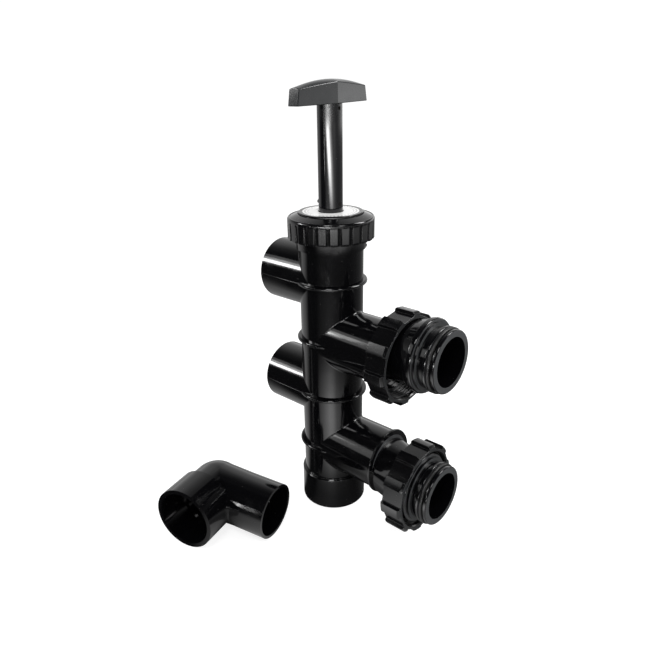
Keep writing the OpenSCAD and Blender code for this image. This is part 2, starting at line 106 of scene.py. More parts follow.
# What the gloss sees of the room near the floor
room_facing = round_compass((-180, 0.60), (-158, 0.60), (-149, 0.30), (-141, 0.02), (-100, 0.02),
    (-88, 0.05), (-40, 0.06), (0, 0.04), (20, 0.05), (60, 0.12), (84, 0.20), (100, 0.34),
    (135, 0.42), (165, 0.56), (180, 0.60))
# Toward the camera the paper is lit in patches: one close to the valve and, beyond a metre, a
# wide dim one with a narrow bright one in it. Facing is a patch's spread round the compass,
# outward its brightness by distance / (distance + half_way)
half_way = 0.61
near_facing = round_compass((-180, 0.0), (-106, 0.0), (-98, 0.22), (-84, 0.45), (-72, 0.72),
    (-60, 1.0), (-50, 0.90), (-37, 0.40), (-25, 0.27), (-10, 0.20), (2, 0.06), (15, 0.0),
    (180, 0.0))
near_outward = [(0.0, 0.03), (0.09, 0.06), (0.12, 0.12), (0.20, 0.85), (0.27, 1.0), (0.33, 0.85),
    (0.365, 0.55), (0.41, 0.22), (0.46, 0.09), (0.54, 0.07), (0.60, 0.02), (0.70, 0.0)]
wide_facing = round_compass((-180, 0.0), (-108, 0.0), (-98, 0.12), (-82, 0.9), (-60, 1.0),
    (-40, 0.85), (-8, 0.95), (8, 0.45), (25, 0.25), (60, 0.20), (95, 0.0), (180, 0.0))
wide_outward = [(0.0, 0.0), (0.655, 0.0), (0.675, 0.75), (0.715, 1.0), (0.74, 0.28), (0.86, 0.36),
    (1.0, 0.4)]
narrow_facing = round_compass((-180, 0.0), (-84, 0.0), (-76, 0.35), (-69, 1.0), (-56, 1.0),
    (-48, 0.4), (-38, 0.12), (-24, 0.0), (180, 0.0))
narrow_outward = [(0.0, 0.0), (0.72, 0.0), (0.75, 0.16), (0.80, 0.6), (0.84, 1.0), (0.90, 1.0),
    (0.93, 0.7), (0.97, 0.4), (1.0, 0.3)]
# A lit wall far to the right and the paper at its foot, which only the grip mirrors
right_facing = round_compass((-180, 0.0), (15, 0.0), (30, 0.35), (42, 0.5), (50, 0.65), (58, 0.9),
    (80, 1.0), (105, 0.6), (130, 0.0), (180, 0.0))
right_outward = [(0.0, 0.0), (0.88, 0.0), (0.94, 1.0), (1.0, 1.0)]
right_brightness = 1.9

paper = bpy.data.materials.new("white_background_paper")
paper.use_nodes = True
tree = paper.node_tree
sheet = tree.nodes["Principled BSDF"]
sheet.inputs["Base Color"].default_value = srgb("#a8a8a8")
sheet.inputs["Roughness"].default_value = 0.95
sheet.inputs["Specular IOR Level"].default_value = 0.0
sheet.inputs["Emission Color"].default_value = (1, 1, 1, 1)
sheet.inputs["Emission Strength"].default_value = 0.82
where = add(tree, "ShaderNodeNewGeometry")
split = add(tree, "ShaderNodeSeparateXYZ", [(where.outputs["Position"], 0)])
turn = add(tree, "ShaderNodeMath", [(split.outputs["Y"], 0), (split.outputs["X"], 1)],
    operation="ARCTAN2")
turn = add(tree, "ShaderNodeMapRange", [(turn.outputs[0], 0)], in_1=-math.pi, in_2=math.pi)
around = add(tree, "ShaderNodeValToRGB", [(turn.outputs[0], 0)], stops=room_facing)
distance = add(tree, "ShaderNodeVectorMath", [(where.outputs["Position"], 0)], operation="LENGTH")
beyond = add(tree, "ShaderNodeMath", [(distance.outputs["Value"], 0)], in_1=half_way,
    operation="ADD")
share = add(tree, "ShaderNodeMath", [(distance.outputs["Value"], 0), (beyond.outputs[0], 1)],
    operation="DIVIDE")
# the narrow patch runs out a little askew
askew = add(tree, "ShaderNodeMath", [(share.outputs[0], 0)], in_1=0.87, operation="SUBTRACT")
askew = add(tree, "ShaderNodeMath", [(askew.outputs[0], 0), (turn.outputs[0], 2)], in_1=0.5,
    operation="MULTIPLY_ADD")
total = around
for way, facing, outward, brightness in (
        (turn, near_facing, near_outward, 2.8),
        (turn, wide_facing, wide_outward, 2.2),
        (askew, narrow_facing, narrow_outward, 28.0),
        (turn, right_facing, right_outward, right_brightness)):
    lit_side = add(tree, "ShaderNodeValToRGB", [(way.outputs[0], 0)], stops=facing)
    lit_depth = add(tree, "ShaderNodeValToRGB", [(share.outputs[0], 0)], stops=outward)
    patch = add(tree, "ShaderNodeMath", [(lit_side.outputs[0], 0), (lit_depth.outputs[0], 1)],
        operation="MULTIPLY")
    total = add(tree, "ShaderNodeMath", [(patch.outputs[0], 0), (total.outputs[0], 2)],
        in_1=brightness, operation="MULTIPLY_ADD")
mirrored = add(tree, "ShaderNodeEmission", [(total.outputs[0], "Strength")])
ray = add(tree, "ShaderNodeLightPath")
mix = add(tree, "ShaderNodeMixShader",
    [(ray.outputs["Is Glossy Ray"], 0), (sheet.outputs[0], 1), (mirrored.outputs[0], 2)])
tree.links.new(mix.outputs[0], tree.nodes["Material Output"].inputs["Surface"])

bpy.ops.mesh.primitive_plane_add(size=80, location=(0, 0, -0.0004))
floor = bpy.context.object
floor.name = "paper_floor"
floor.data.materials.append(paper)

world = bpy.data.worlds.new("studio")
scene.world = world
world.use_nodes = True
tree = world.node_tree
tree.nodes.clear()
where = add(tree, "ShaderNodeTexCoord")
split = add(tree, "ShaderNodeSeparateXYZ", [(where.outputs["Generated"], 0)])
turn = add(tree, "ShaderNodeMath", [(split.outputs["Y"], 0), (split.outputs["X"], 1)],
    operation="ARCTAN2")
turn = add(tree, "ShaderNodeMapRange", [(turn.outputs[0], 0)], in_1=-math.pi, in_2=math.pi)
around = add(tree, "ShaderNodeValToRGB", [(turn.outputs[0], 0)], stops=room_facing)
walls = add(tree, "ShaderNodeMapRange", [(split.outputs["Z"], 0)],
    interpolation_type="SMOOTHSTEP", in_1=0.02, in_2=0.45, in_3=1.0, in_4=0.05)
lit = add(tree, "ShaderNodeMath", [(around.outputs[0], 0), (walls.outputs[0], 1)], in_2=0.008,
    operation="MULTIPLY_ADD")
# the wall behind is lit up to 70 degrees above the floor
back_facing = round_compass((-180, 0.25), (-160, 0.0), (50, 0.0), (95, 0.6), (125, 1.0),
    (160, 0.8), (180, 0.25))
behind = add(tree, "ShaderNodeValToRGB", [(turn.outputs[0], 0)], stops=back_facing)
height = add(tree, "ShaderNodeMapRange", [(split.outputs["Z"], 0)],
    interpolation_type="SMOOTHSTEP", in_1=0.55, in_2=0.96, in_3=0.95, in_4=0.0)
lit = add(tree, "ShaderNodeMath",
    [(behind.outputs[0], 0), (height.outputs[0], 1), (lit.outputs[0], 2)],
    operation="MULTIPLY_ADD")
# the wall on the right is lit up to 13 degrees
lit_side = add(tree, "ShaderNodeValToRGB", [(turn.outputs[0], 0)], stops=right_facing)
low = add(tree, "ShaderNodeMapRange", [(split.outputs["Z"], 0)],
    interpolation_type="SMOOTHSTEP", in_1=0.06, in_2=0.22, in_3=right_brightness, in_4=0.0)
lit = add(tree, "ShaderNodeMath",
    [(lit_side.outputs[0], 0), (low.outputs[0], 1), (lit.outputs[0], 2)],
    operation="MULTIPLY_ADD")
room = add(tree, "ShaderNodeBackground", [(lit.outputs[0], "Strength")])
# everything but gloss sees a plain white room
ray = add(tree, "ShaderNodeLightPath")
softness = add(tree, "ShaderNodeMapRange", [(ray.outputs["Is Diffuse Ray"], 0)], in_3=1.05,
    in_4=0.62)
white = add(tree, "ShaderNodeBackground", [(softness.outputs[0], "Strength")],
    in_Color=(1, 1, 1, 1))
mix = add(tree, "ShaderNodeMixShader",
    [(ray.outputs["Is Glossy Ray"], 0), (white.outputs[0], 1), (room.outputs[0], 2)])
add(tree, "ShaderNodeOutputWorld", [(mix.outputs[0], 0)])


def soft_box(name, direction, distance, width, height, watts, mirrored=True):
    # every box faces the middle of the valve, 0.2 m above the paper
    lamp = bpy.data.objects.new(name, bpy.data.lights.new(name, "AREA"))
    scene.collection.objects.link(lamp)
    lamp.data.shape = "RECTANGLE"
    lamp.data.size, lamp.data.size_y = width, height
    lamp.data.energy = watts
    aim = Vector(direction).normalized()
    lamp.location = Vector((0, 0, 0.2)) + aim * distance
    lamp.rotation_mode = "QUATERNION"
    lamp.rotation_quaternion = (-aim).to_track_quat("-Z", "Y")
    lamp.visible_glossy = mirrored


# a bright box, its halo and a wide veil: the streaks on the stubs and the shaft end softly
soft_box("left_box", (-2.79, -2.54, 1.52), 4.06, 0.80, 0.50, 26.0)
soft_box("left_halo", (-2.78, -2.58, 1.78), 4.1, 1.10, 0.90, 12.0)
soft_box("left_veil", (-2.55, -2.85, 1.9), 4.1, 2.40, 1.70, 14.0)
# a narrow strip for the short streak on the loose elbow
soft_box("elbow_strip", (-0.240, -1.180, 0.117), 1.2, 0.016, 0.22, 0.25)
# boxes that put sparks and short streaks on rims and threads
soft_box("front_spark", (0.33, -0.56, 0.76), 1.3, 0.30, 0.30, 4.0)
soft_box("right_spark", (0.77, -0.28, 0.57), 1.4, 0.25, 0.35, 2.0)
soft_box("right_back_box", (0.56, 0.62, 0.72), 1.5, 0.36, 0.70, 11.6)
# two scrims too soft to mirror, for the grip and the plate
soft_box("right_scrim", (0.90, 0.25, 0.45), 1.5, 0.7, 0.7, 5.0, mirrored=False)
soft_box("top_scrim", (-0.15, 0.1, 0.98), 1.5, 0.7, 0.7, 5.5, mirrored=False)


# ---- Valve body ----
# The barrel with its hoops, two stubs and two branches is one injection moulding in black
# ABS, ejected from a polished tool: it shines like piano lacquer, with faint sink marks.

def black_abs(name, hex_code="#040405", gloss=0.08, haze=0.17, cut_face=None):
    # wide sink marks bend the reflections, a fine orange peel breaks their edges, and
    # handling leaves hazy smears, hairline scratches and a little dust
    material = bpy.data.materials.new(name)
    material.use_nodes = True
    tree = material.node_tree
    skin = tree.nodes["Principled BSDF"]
    skin.inputs["IOR"].default_value = 1.54
    place = add(tree, "ShaderNodeTexCoord").outputs["Object"]
    # sinks 26 mm across, 0.1 mm deep
    sink = add(tree, "ShaderNodeTexNoise", [(place, "Vector")], in_Scale=38, in_Detail=1.5,
        in_Roughness=0.4)
    # orange peel, about 1.2 mm from crest to crest
    peel = add(tree, "ShaderNodeTexNoise", [(place, "Vector")], in_Scale=820, in_Detail=1,
        in_Roughness=0.5)
    sink_bump = add(tree, "ShaderNodeBump", [(sink.outputs[0], "Height")], in_Strength=1.0,
        in_Distance=0.00016)
    peel_bump = add(tree, "ShaderNodeBump",
        [(peel.outputs[0], "Height"), (sink_bump.outputs[0], "Normal")], in_Strength=1.0,
        in_Distance=0.000004)
    tree.links.new(peel_bump.outputs[0], skin.inputs["Normal"])
    # smears from hands, 30 to 70 mm long
    smear = add(tree, "ShaderNodeTexNoise", [(place, "Vector")], in_Scale=22, in_Detail=5,
        in_Roughness=0.6, in_Distortion=1.2)
    smear = add(tree, "ShaderNodeMapRange", [(smear.outputs[0], 0)],
        interpolation_type="SMOOTHSTEP", in_1=0.45, in_2=0.72, in_3=gloss, in_4=haze)
    # hairline scratches 0.7 mm apart: real ones are finer, these are as coarse as shows
    stretch = add(tree, "ShaderNodeMapping", [(place, 0)], in_Rotation=(0.5, 0.9, 0.2),
        in_Scale=(60, 1500, 1500))
    hair = add(tree, "ShaderNodeTexNoise", [(stretch.outputs[0], "Vector")], in_Scale=1.0,
        in_Detail=2)
    hair = add(tree, "ShaderNodeMapRange", [(hair.outputs[0], 0)], in_1=0.66, in_2=0.74,
        in_3=0.0, in_4=0.12)
    rough = add(tree, "ShaderNodeMath", [(smear.outputs[0], 0), (hair.outputs[0], 1)],
        operation="ADD")
    # dust grains up to 0.6 mm across, one to every few square centimetres
    grain = add(tree, "ShaderNodeTexVoronoi", [(place, "Vector")], in_Scale=240)
    near = add(tree, "ShaderNodeMath", [(grain.outputs["Distance"], 0)], in_1=0.07,
        operation="LESS_THAN")
    pick = add(tree, "ShaderNodeSeparateColor", [(grain.outputs["Color"], 0)])
    rare = add(tree, "ShaderNodeMath", [(pick.outputs[0], 0)], in_1=0.82,
        operation="GREATER_THAN")
    dust = add(tree, "ShaderNodeMath", [(near.outputs[0], 0), (rare.outputs[0], 1)],
        operation="MULTIPLY")
    rough = add(tree, "ShaderNodeMath", [(dust.outputs[0], 0), (rough.outputs[0], 2)],
        in_1=0.4, operation="MULTIPLY_ADD")
    tone = add(tree, "ShaderNodeMix", [(dust.outputs[0], 0)], data_type="RGBA",
        in_6=srgb(hex_code), in_7=srgb("#3c3c3a"))
    if cut_face:
        # faces square to the pipes were cut flat, which leaves them greyer and duller
        facing = add(tree, "ShaderNodeTexCoord").outputs["Normal"]
        square = add(tree, "ShaderNodeSeparateXYZ", [(facing, 0)])
        square = add(tree, "ShaderNodeMath", [(square.outputs["X"], 0)], operation="ABSOLUTE")
        square = add(tree, "ShaderNodeMapRange", [(square.outputs[0], 0)],
            interpolation_type="SMOOTHSTEP", in_1=0.90, in_2=0.995)
        rough = add(tree, "ShaderNodeMath", [(square.outputs[0], 0), (rough.outputs[0], 2)],
            in_1=0.22, operation="MULTIPLY_ADD")
        tone = add(tree, "ShaderNodeMix", [(square.outputs[0], 0), (tone.outputs[2], 6)],
            data_type="RGBA", in_7=srgb(cut_face))
    tree.links.new(rough.outputs[0], skin.inputs["Roughness"])
    tree.links.new(tone.outputs[2], skin.inputs["Base Color"])
    return material


def put_on(name, material):
    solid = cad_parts[name]
    solid.data.materials.clear()
    solid.data.materials.append(material)


def new_piece(name, points, faces, material, body):
    mesh = bpy.data.meshes.new(name)
    mesh.from_pydata(points, [], faces)
    mesh.validate()
    mesh.shade_smooth()
    mesh.materials.append(material)
    piece = bpy.data.objects.new(name, mesh)
    scene.collection.objects.link(piece)
    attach(piece, body)
    return piece


polished_abs = black_abs("black_abs_moulded_polished")
put_on("valve_body", polished_abs)

barrel_r, branch_r, stub_r = 0.0335, 0.0332, 0.0335
lower_branch_z, lower_stub_z, upper_branch_z, upper_stub_z = 0.0772, 0.1410, 0.2048, 0.2686


# The tool has a rounded corner where a side pipe meets the barrel: a ball of that radius
# rolled along the joint leaves this concave strip
def corner_strip(pipe_z, side, up, pipe_r, corner_r):
    points, faces = [], []
    rows, columns = 60, 8
    # degrees to the front and back of the pipe's top, just short of where the strips meet
    reach = 89.5
    for i in range(rows + 1):
        slope = math.radians(-reach + 2 * reach * i / rows)
        y = (pipe_r + corner_r) * math.sin(slope)
        z = (pipe_r + corner_r) * math.cos(slope)
        x = math.sqrt(max((barrel_r + corner_r) ** 2 - y * y, 1e-12))
        middle = Vector((x, y, z))
        from_barrel = Vector((x, y, 0)) / (barrel_r + corner_r)
        from_pipe = Vector((0, y, z)) / (pipe_r + corner_r)
        for j in range(columns + 1):
            lean = from_barrel.lerp(from_pipe, j / columns).normalized()
            place = middle - lean * corner_r
            points.append((side * place.x, place.y, pipe_z + up * place.z))
    for i in range(rows):
        for j in range(columns):
            a = i * (columns + 1) + j
            quad = (a, a + 1, a + columns + 2, a + columns + 1)
            faces.append(quad if side * up > 0 else quad[::-1])
    return points, faces


for pipe_name, pipe_z, side, pipe_r in (
        ("lower_branch", lower_branch_z, 1, branch_r),
        ("lower_stub", lower_stub_z, -1, stub_r),
        ("upper_branch", upper_branch_z, 1, branch_r),
        ("upper_stub", upper_stub_z, -1, stub_r)):
    points, faces = [], []
    for up in (1, -1):
        more_points, more_faces = corner_strip(pipe_z, side, up, pipe_r, corner_r=0.0022)
        faces += [tuple(len(points) + k for k in face) for face in more_faces]
        points += more_points
    new_piece("corner_of_" + pipe_name, points, faces, polished_abs, "housing")


# The two halves of the tool meet on the barrel's front and back: a rounded ridge between the
# hoops, 1.4 mm wide and 0.14 mm proud, sunk a hair into the barrel and faded at its ends
ridge_half_w, ridge_proud, ridge_sunk, ridge_fade = 0.0007, 0.00014, 0.00004, 0.0008
ridge_steps = 6
points, faces = [], []
for side in (-1, 1):
    for foot, head in ((0.0400, 0.0752), (0.0792, 0.1390), (0.1430, 0.1990)):
        start = len(points)
        levels = (foot, foot + ridge_fade, head - ridge_fade, head)
        for z in levels:
            ends = 0.2 if z in (foot, head) else 1.0
            for k in range(ridge_steps + 1):
                lean = math.pi * k / ridge_steps
                x, stand = ridge_half_w * math.cos(lean), ridge_proud * ends * math.sin(lean)
                off_axis = math.sqrt(barrel_r ** 2 - x * x) - ridge_sunk + stand
                points.append((x, side * off_axis, z))
        row = ridge_steps + 1
        for i in range(len(levels) - 1):
            for k in range(ridge_steps):
                a = start + i * row + k
                quad = (a, a + 1, a + row + 1, a + row)
                faces.append(quad if side > 0 else quad[::-1])
new_piece("parting_line_of_barrel", points, faces, polished_abs, "housing")


# ---- Waste collar ----
# The socket for the waste pipe is a separate ABS ring pushed up over the barrel's lower end.
# Solvent cement holds it, and some of it squeezed out into a ragged glossy bead.

def round_edges(piece, width, segments, sharp, limit):
    # in degrees: edges over sharp break the shading, and those over limit are rounded over
    piece.data.set_sharp_from_angle(angle=math.radians(sharp))
    bevel = piece.modifiers.new("rounded_edges", "BEVEL")
    bevel.width, bevel.segments = width, segments
    bevel.limit_method, bevel.angle_limit = "ANGLE", math.radians(limit)
    bevel.harden_normals = True


def rounded(node_name, name, body, material, round_over, segments=2, crease=30.0):
    # the solid's own mesh, cleaned, its edges rounded over and standing in for the solid
    work = bmesh.new()
    work.from_mesh(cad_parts[node_name].data)
    bmesh.ops.remove_doubles(work, verts=work.verts, dist=2e-6)
    bmesh.ops.dissolve_limit(work, angle_limit=math.radians(0.3), verts=work.verts,
        edges=work.edges)
    work.verts.index_update()
    points = [tuple(v.co) for v in work.verts]
    faces = [tuple(v.index for v in face.verts) for face in work.faces]
    work.free()
    piece = new_piece(name, points, faces, material, body)
    round_edges(piece, round_over, segments, crease, crease)
    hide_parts(node_name)
    return piece


def cement_bead(name, middle, out, radius, width, height, seed, material, body):
    # out is the direction in which the bead stands off its joint, along the pipe
    chance = random.Random(seed)
    waves = [(n, chance.uniform(0, 6.28), chance.uniform(0.3, 1) / math.sqrt(n))
        for n in (2, 3, 5, 8, 13, 21)]
    along = Vector(out).normalized()
    first = along.orthogonal().normalized()
    second = along.cross(first)
    points, faces = [], []
    turns, sides = 180, 8
    thin, thick = 0.7, 1.05
    for i in range(turns):
        angle = 2 * math.pi * i / turns
        swell = 0.75 + 0.22 * sum(size * math.sin(n * angle + shift) for n, shift, size in waves)
        swell = max(thin, min(thick, swell))
        outward = first * math.cos(angle) + second * math.sin(angle)
        for j in range(sides + 1):
            part = math.pi / 2 * j / sides
            reach = radius + width * swell * math.cos(part) ** 0.8
            stand = height * swell * math.sin(part) ** 0.8
            points.append(tuple(Vector(middle) + outward * reach + along * stand))
    row = sides + 1
    for i in range(turns):
        for j in range(sides):
            a, b = i * row + j, ((i + 1) % turns) * row + j
            faces.append((a, b, b + 1, a + 1))
    return new_piece(name, points, faces, material, body)


rounded("waste_collar", "waste_collar_moulded", "housing", polished_abs,
    round_over=0.0005)
cement = black_abs("solvent_cement_dried_clear_black", "#070708", gloss=0.05, haze=0.10)
collar_top = 0.0388
cement_bead("collar_cement", (0, 0, collar_top), (0, 0, 1), barrel_r, width=0.0016,
    height=0.0012, seed=4, material=cement, body="housing")


# ---- Cap, its plate and its seals ----
# The cap plugs the barrel's top and guides the shaft. A white plate lies in its top, and
# greased rubber rings seal it and the shaft.

moulded_abs = black_abs("black_abs_moulded_semi_gloss", "#050506", gloss=0.13, haze=0.24)
put_on("cap", moulded_abs)

# rigid white plate, glossy enough to mirror the shaft's foot, with a printed ring of dashes
plate = bpy.data.materials.new("white_styrene_plate_printed")
plate.use_nodes = True
tree = plate.node_tree
skin = tree.nodes["Principled BSDF"]
skin.inputs["Roughness"].default_value = 0.14
skin.inputs["IOR"].default_value = 1.57
place = add(tree, "ShaderNodeTexCoord").outputs["Object"]
split = add(tree, "ShaderNodeSeparateXYZ", [(place, 0)])
flat = add(tree, "ShaderNodeCombineXYZ", [(split.outputs["X"], 0), (split.outputs["Y"], 1)])
off = add(tree, "ShaderNodeVectorMath", [(flat.outputs[0], 0)], operation="LENGTH")
# a line 0.36 mm wide at 23.2 mm from the middle, and 44 dashes 1.6 mm long at 26.2 mm
ring_line = add(tree, "ShaderNodeMath", [(off.outputs["Value"], 0)], in_1=0.0232, in_2=0.00018,
    operation="COMPARE")
turn = add(tree, "ShaderNodeMath", [(split.outputs["Y"], 0), (split.outputs["X"], 1)],
    operation="ARCTAN2")
comb = add(tree, "ShaderNodeMath", [(turn.outputs[0], 0)], in_1=44.0, operation="MULTIPLY")
comb = add(tree, "ShaderNodeMath", [(comb.outputs[0], 0)], operation="COSINE")
teeth = add(tree, "ShaderNodeMath", [(comb.outputs[0], 0)], in_1=0.1, operation="GREATER_THAN")
band = add(tree, "ShaderNodeMath", [(off.outputs["Value"], 0)], in_1=0.0262, in_2=0.0008,
    operation="COMPARE")
ticks = add(tree, "ShaderNodeMath", [(teeth.outputs[0], 0), (band.outputs[0], 1)],
    operation="MULTIPLY")
ink = add(tree, "ShaderNodeMath", [(ring_line.outputs[0], 0), (ticks.outputs[0], 1)],
    operation="MAXIMUM")
# faint grime in patches of about 11 mm
grime = add(tree, "ShaderNodeTexNoise", [(place, "Vector")], in_Scale=90, in_Detail=5)
grime = add(tree, "ShaderNodeMapRange", [(grime.outputs[0], 0)], in_1=0.5, in_2=0.8, in_3=0.0,
    in_4=0.25)
bare = add(tree, "ShaderNodeMix", [(grime.outputs[0], 0)], data_type="RGBA",
    in_6=srgb("#e0e0df"), in_7=srgb("#cfcfce"))
inked = add(tree, "ShaderNodeMix", [(ink.outputs[0], 0), (bare.outputs[2], 6)],
    data_type="RGBA", in_7=srgb("#6f7070"))
tree.links.new(inked.outputs[2], skin.inputs["Base Color"])
put_on("label_plate", plate)

# nitrile rubber, moulded and wiped with silicone grease: dark, with a soft broad sheen
rubber = bpy.data.materials.new("black_nitrile_rubber_greased")
rubber.use_nodes = True
tree = rubber.node_tree
skin = tree.nodes["Principled BSDF"]
skin.inputs["IOR"].default_value = 1.52
place = add(tree, "ShaderNodeTexCoord").outputs["Object"]
# the grease lies in patches of about 6 mm
grease = add(tree, "ShaderNodeTexNoise", [(place, "Vector")], in_Scale=160, in_Detail=4)
sheen = add(tree, "ShaderNodeMapRange", [(grease.outputs[0], 0)], in_1=0.35, in_2=0.65,
    in_3=0.28, in_4=0.6)
tree.links.new(sheen.outputs[0], skin.inputs["Roughness"])
tone = add(tree, "ShaderNodeValToRGB", [(grease.outputs[0], 0)],
    stops=[(0.3, srgb("#0b0b0b")), (0.7, srgb("#141414"))])
tree.links.new(tone.outputs[0], skin.inputs["Base Color"])
# skin of the moulding, grains of 0.4 mm
grain = add(tree, "ShaderNodeTexNoise", [(place, "Vector")], in_Scale=2400, in_Detail=1)
bump = add(tree, "ShaderNodeBump", [(grain.outputs[0], "Height")], in_Distance=0.000008)
tree.links.new(bump.outputs[0], skin.inputs["Normal"])
for name in ("cap_seal", "shaft_seals", "upper_piston_rings", "lower_piston_rings",
        "upper_tail_ring", "lower_tail_ring"):
    put_on(name, rubber)


# ---- Lock ring ----
# The threaded ring that clamps the cap down, moulded in black ABS with flat grip ribs and
# a rounded shoulder.

ring_z, ring_r, ring_h = 0.3146, 0.0445, 0.0227
rib_count, rib_w, rib_depth = 24, 0.0070, 0.0012
skirt_h = ring_h - 0.0042
shoulder_r, shoulder_rise = 0.0020, 0.0032
thread_turns, thread_pitch, root_r, crest_r = 5, 0.0032, 0.0403, 0.0388

# the ring's section, as radius and height: its foot, outer side, shoulder, cone, bore and thread
section = [(0.0441, 0.0), (0.0444, 0.0001), (0.0445, 0.0004)]
section += [(ring_r, 0.0004 + (skirt_h - 0.0016) * k / 10) for k in range(1, 11)]
section += [(ring_r, skirt_h - 0.0012 + 0.0016 * k / 8) for k in range(1, 9)]
for k in range(9):
    angle = math.pi / 2 * k / 8
    section.append((ring_r - shoulder_r * (1 - math.cos(angle)),
        ring_h - 0.0039 + shoulder_rise * math.sin(angle)))
section += [(0.0422, ring_h - 0.0008), (0.0421, ring_h - 0.0011), (0.0419, ring_h - 0.0012),
    (0.0417, ring_h - 0.0010), (0.0414, ring_h - 0.0009)]
section += [(0.0346, ring_h + 0.0020), (0.0342, ring_h + 0.0021), (0.0337, ring_h + 0.0020),
    (0.03345, ring_h + 0.0017), (0.0333, ring_h + 0.0012)]
section += [(0.0333, ring_h - 0.0038), (0.0335, ring_h - 0.0040), (0.0402, ring_h - 0.0040)]
for thread in range(thread_turns):
    foot = ring_h - 0.0044 - thread * thread_pitch
    section += [(root_r, foot), (crest_r, foot - 0.0004), (crest_r, foot - 0.0010),
        (root_r, foot - 0.0014)]
section += [(root_r, 0.0006), (0.0406, 0.0001), (0.0410, 0.0)]

# where the section is drawn within the pitch from rib to rib, closest at the ribs' edges
steps = [-0.5, -0.44, -0.385, -0.345, -0.325, -0.305, -0.28, -0.2, -0.1, 0.0,
    0.1, 0.2, 0.28, 0.305, 0.325, 0.345, 0.385, 0.44]
pitch = 2 * math.pi / rib_count
half_rib = rib_w / ring_r / pitch / 2
points, faces = [], []
for rib in range(rib_count):
    for step in steps:
        angle = (rib + step) * pitch
        # each rib is a flat; the hollow between two ribs is a shallow rounded V
        on_rib = abs(step) < half_rib
        flat_r = ring_r * math.cos(half_rib * pitch) / math.cos(step * pitch) if on_rib else ring_r
        off_rib = max(0.0, (abs(step) - half_rib) / (0.5 - half_rib))
        hollow = min(1.0, 1.9 * off_rib) ** 0.9
        for r, z in section:
            outer = r > 0.0430 and z < skirt_h + 0.0008
            if outer:
                fade = min(1.0, max(0.0, (skirt_h + 0.0006 - z) / 0.0018))
                fade = fade * fade * (3 - 2 * fade)
                # the hollows deepen downward, so that the ring leaves its tool
                depth = rib_depth * (1.4 - 0.9 * z / skirt_h)
                r = r - (ring_r - flat_r) * fade - hollow * depth * fade
            points.append((r * math.cos(angle), r * math.sin(angle), ring_z + z))
row = len(section)
count = rib_count * len(steps)
for i in range(count):
    for j in range(row):
        a, b = i * row + j, ((i + 1) % count) * row + j
        c, d = i * row + (j + 1) % row, ((i + 1) % count) * row + (j + 1) % row
        faces.append((a, b, d, c))
ring = new_piece("lock_ring_ribbed", points, faces, moulded_abs, "lock_ring")
ring.data.set_sharp_from_angle(angle=math.radians(28))
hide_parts("lock_ring")


# ---- Shaft ----
# The pistons hang on a drawn ABS tube that slides and turns in the cap. Drawing leaves fine
# lines along it, and the seals have wiped it bright.

tube = black_abs("black_abs_tube_extruded", "#08080a", gloss=0.06, haze=0.13)
tree = tube.node_tree
skin = tree.nodes["Principled BSDF"]
place = add(tree, "ShaderNodeTexCoord").outputs["Object"]
# die lines 0.8 mm apart round the tube and as long as the tube
drawn = add(tree, "ShaderNodeMapping", [(place, 0)], in_Scale=(1200, 1200, 4))
lines = add(tree, "ShaderNodeTexNoise", [(drawn.outputs[0], "Vector")], in_Scale=1.0, in_Detail=2)
bump = add(tree, "ShaderNodeBump", [(lines.outputs[0], "Height")], in_Distance=0.0000025)
tree.links.new(bump.outputs[0], skin.inputs["Normal"])
# the hand has scuffed the last 25 mm under the handle
split = add(tree, "ShaderNodeSeparateXYZ", [(place, 0)])
scuff = add(tree, "ShaderNodeMapRange", [(split.outputs["Z"], 0)],
    interpolation_type="SMOOTHSTEP", in_1=0.416, in_2=0.436, in_3=0.0, in_4=0.20)
polish = skin.inputs["Roughness"].links[0].from_socket
dulled = add(tree, "ShaderNodeMath", [(scuff.outputs[0], 0), (polish, 1)], operation="ADD")
tree.links.new(dulled.outputs[0], skin.inputs["Roughness"])
put_on("shaft", tube)


# ---- Handle ----
# The T-grip is moulded in spark-textured black nylon: it never mirrors, it only glows softly.
# Its spigot fills the top of the tube, and it rocks one degree on the pin that holds it.

grip = bpy.data.materials.new("black_nylon_moulded_textured")
grip.use_nodes = True
tree = grip.node_tree
skin = tree.nodes["Principled BSDF"]
skin.inputs["IOR"].default_value = 1.53
place = add(tree, "ShaderNodeTexCoord").outputs["Object"]
# spark texture: real grains are 0.1 mm, these are 0.5 mm so that they show
spark = add(tree, "ShaderNodeTexNoise", [(place, "Vector")], in_Scale=1900, in_Detail=3,
    in_Roughness=0.6)
bump = add(tree, "ShaderNodeBump", [(spark.outputs[0], "Height")], in_Strength=0.5,
    in_Distance=0.000012)
tree.links.new(bump.outputs[0], skin.inputs["Normal"])
# hands have polished it in patches of about 22 mm
polish = add(tree, "ShaderNodeTexNoise", [(place, "Vector")], in_Scale=45, in_Detail=4)
rough = add(tree, "ShaderNodeMapRange", [(polish.outputs[0], 0)], in_1=0.35, in_2=0.7,
    in_3=0.20, in_4=0.12)
tree.links.new(rough.outputs[0], skin.inputs["Roughness"])
tone = add(tree, "ShaderNodeValToRGB", [(spark.outputs[0], 0)],
    stops=[(0.3, srgb("#1c1d1e")), (0.7, srgb("#252627"))])
tree.links.new(tone.outputs[0], skin.inputs["Base Color"])

